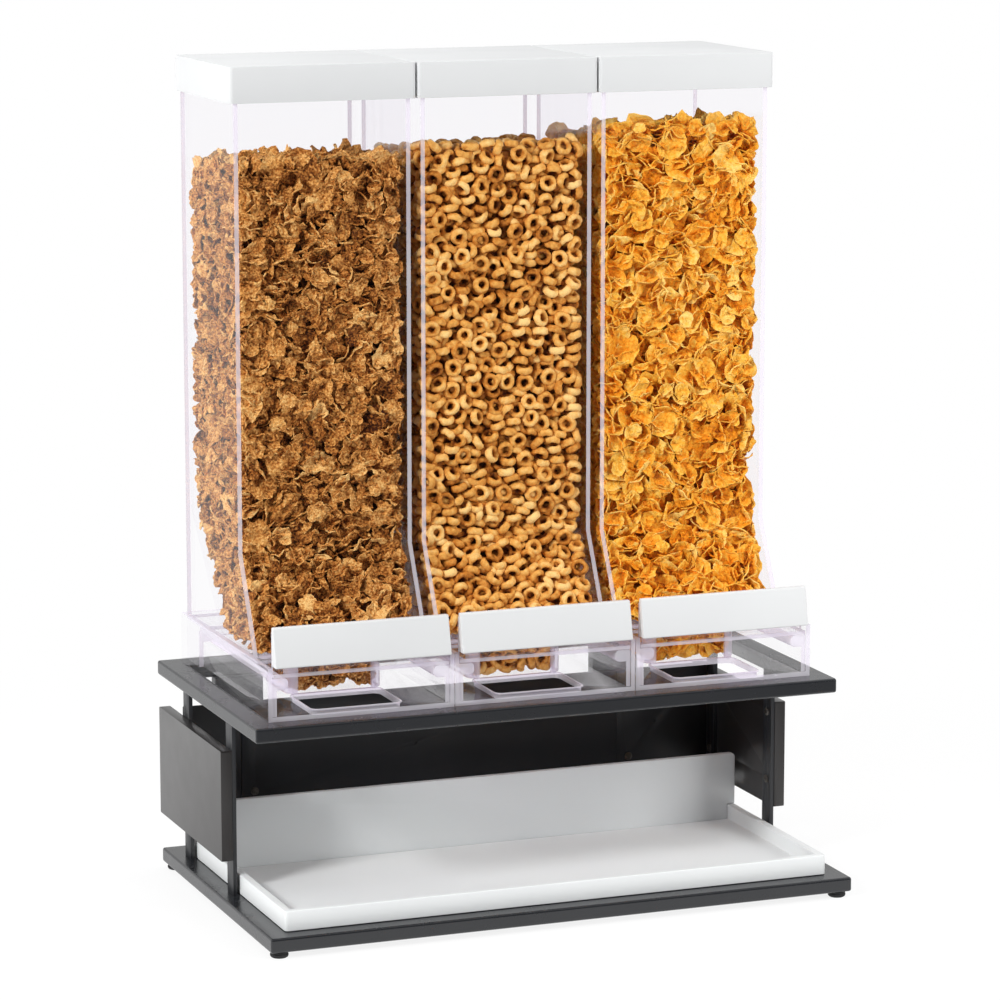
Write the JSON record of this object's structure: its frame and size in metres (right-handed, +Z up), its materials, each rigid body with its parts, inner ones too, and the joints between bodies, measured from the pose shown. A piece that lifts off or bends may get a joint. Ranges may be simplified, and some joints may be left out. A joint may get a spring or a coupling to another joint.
{
  "type": "gravity cereal dispenser",
  "caption": "Countertop gravity cereal dispenser: tall clear bins with lift-off lids stand side by side over pull-out portion drawers, on a two-deck metal stand with a pull-out bowl tray.",
  "frame": {"origin": "on the surface that the feet stand on, below the middle of the footprint", "axes": "+Z up, -Y towards the user, the way the drawers and the tray pull out, +X to the user's right"},
  "size_m": [0.48, 0.291, 0.6557],
  "materials": {
    "charcoal_metal": "dark grey powder coat, fine texture",
    "black_sheet": "satin black coat",
    "clear_acrylic": "clear polished sheet, edges faintly lilac",
    "white_plastic": "opaque white, soft gloss",
    "white_tray": "opaque white, satin",
    "foot_rubber": "black, matte",
    "screw_steel": "blackened"
  },
  "bodies": {
    "stand": {"back_screw_left_lower": "screw_steel", "back_screw_left_upper": "screw_steel", "back_screw_right_lower": "screw_steel", "back_screw_right_upper": "screw_steel", "back_sheet_left": "black_sheet", "back_sheet_middle": "black_sheet", "back_sheet_right": "black_sheet", "back_upright_left": "charcoal_metal", "back_upright_right": "charcoal_metal", "base_rail_back": "charcoal_metal", "base_rail_front": "charcoal_metal", "base_rail_left": "charcoal_metal", "base_rail_right": "charcoal_metal", "deck_rail_back": "charcoal_metal", "deck_rail_front": "charcoal_metal", "deck_rail_left": "charcoal_metal", "deck_rail_right": "charcoal_metal", "foot_back_left": "foot_rubber", "foot_back_right": "foot_rubber", "foot_front_left": "foot_rubber", "foot_front_right": "foot_rubber", "housing_left": "clear_acrylic", "housing_middle": "clear_acrylic", "housing_right": "clear_acrylic", "panel_screw_back_left_lower": "screw_steel", "panel_screw_back_left_upper": "screw_steel", "panel_screw_back_right_lower": "screw_steel", "panel_screw_back_right_upper": "screw_steel", "panel_screw_front_left_lower": "screw_steel", "panel_screw_front_left_upper": "screw_steel", "panel_screw_front_right_lower": "screw_steel", "panel_screw_front_right_upper": "screw_steel", "post_back_left": "charcoal_metal", "post_back_right": "charcoal_metal", "post_front_left": "charcoal_metal", "post_front_right": "charcoal_metal", "side_panel_left": "charcoal_metal", "side_panel_right": "charcoal_metal", "throat_plate_left": "clear_acrylic", "throat_plate_middle": "clear_acrylic", "throat_plate_right": "clear_acrylic"},
    "drawer_slide_left": {"drawer_left": "clear_acrylic", "drawer_chamber_left": "clear_acrylic", "drawer_handle_left": "white_plastic"},
    "bin_lift_left": {"bin_left": "clear_acrylic"},
    "lid_lift_left": {"lid_left": "white_plastic"},
    "drawer_slide_middle": {"drawer_middle": "clear_acrylic", "drawer_chamber_middle": "clear_acrylic", "drawer_handle_middle": "white_plastic"},
    "bin_lift_middle": {"bin_middle": "clear_acrylic"},
    "lid_lift_middle": {"lid_middle": "white_plastic"},
    "drawer_slide_right": {"drawer_right": "clear_acrylic", "drawer_chamber_right": "clear_acrylic", "drawer_handle_right": "white_plastic"},
    "bin_lift_right": {"bin_right": "clear_acrylic"},
    "lid_lift_right": {"lid_right": "white_plastic"},
    "tray_slide": {"tray": "white_tray", "tray_splash_plate": "white_tray"}
  },
  "joints": [
    {"name": "drawer_left_pull", "type": "slide", "parent": "stand", "child": "drawer_slide_left", "axis": [0, -1, 0], "range_m": [0, 0.055]},
    {"name": "bin_left_lift_off", "type": "slide", "parent": "stand", "child": "bin_lift_left", "axis": [0, 0, 1], "range_m": [0, 0.12]},
    {"name": "lid_left_lift_off", "type": "slide", "parent": "bin_lift_left", "child": "lid_lift_left", "axis": [0, 0, 1], "range_m": [0, 0.06]},
    {"name": "drawer_middle_pull", "type": "slide", "parent": "stand", "child": "drawer_slide_middle", "axis": [0, -1, 0], "range_m": [0, 0.055]},
    {"name": "bin_middle_lift_off", "type": "slide", "parent": "stand", "child": "bin_lift_middle", "axis": [0, 0, 1], "range_m": [0, 0.12]},
    {"name": "lid_middle_lift_off", "type": "slide", "parent": "bin_lift_middle", "child": "lid_lift_middle", "axis": [0, 0, 1], "range_m": [0, 0.06]},
    {"name": "drawer_right_pull", "type": "slide", "parent": "stand", "child": "drawer_slide_right", "axis": [0, -1, 0], "range_m": [0, 0.055]},
    {"name": "bin_right_lift_off", "type": "slide", "parent": "stand", "child": "bin_lift_right", "axis": [0, 0, 1], "range_m": [0, 0.12]},
    {"name": "lid_right_lift_off", "type": "slide", "parent": "bin_lift_right", "child": "lid_lift_right", "axis": [0, 0, 1], "range_m": [0, 0.06]},
    {"name": "tray_pull_out", "type": "slide", "parent": "stand", "child": "tray_slide", "axis": [0, -1, 0], "range_m": [0, 0.15]}
  ]
}
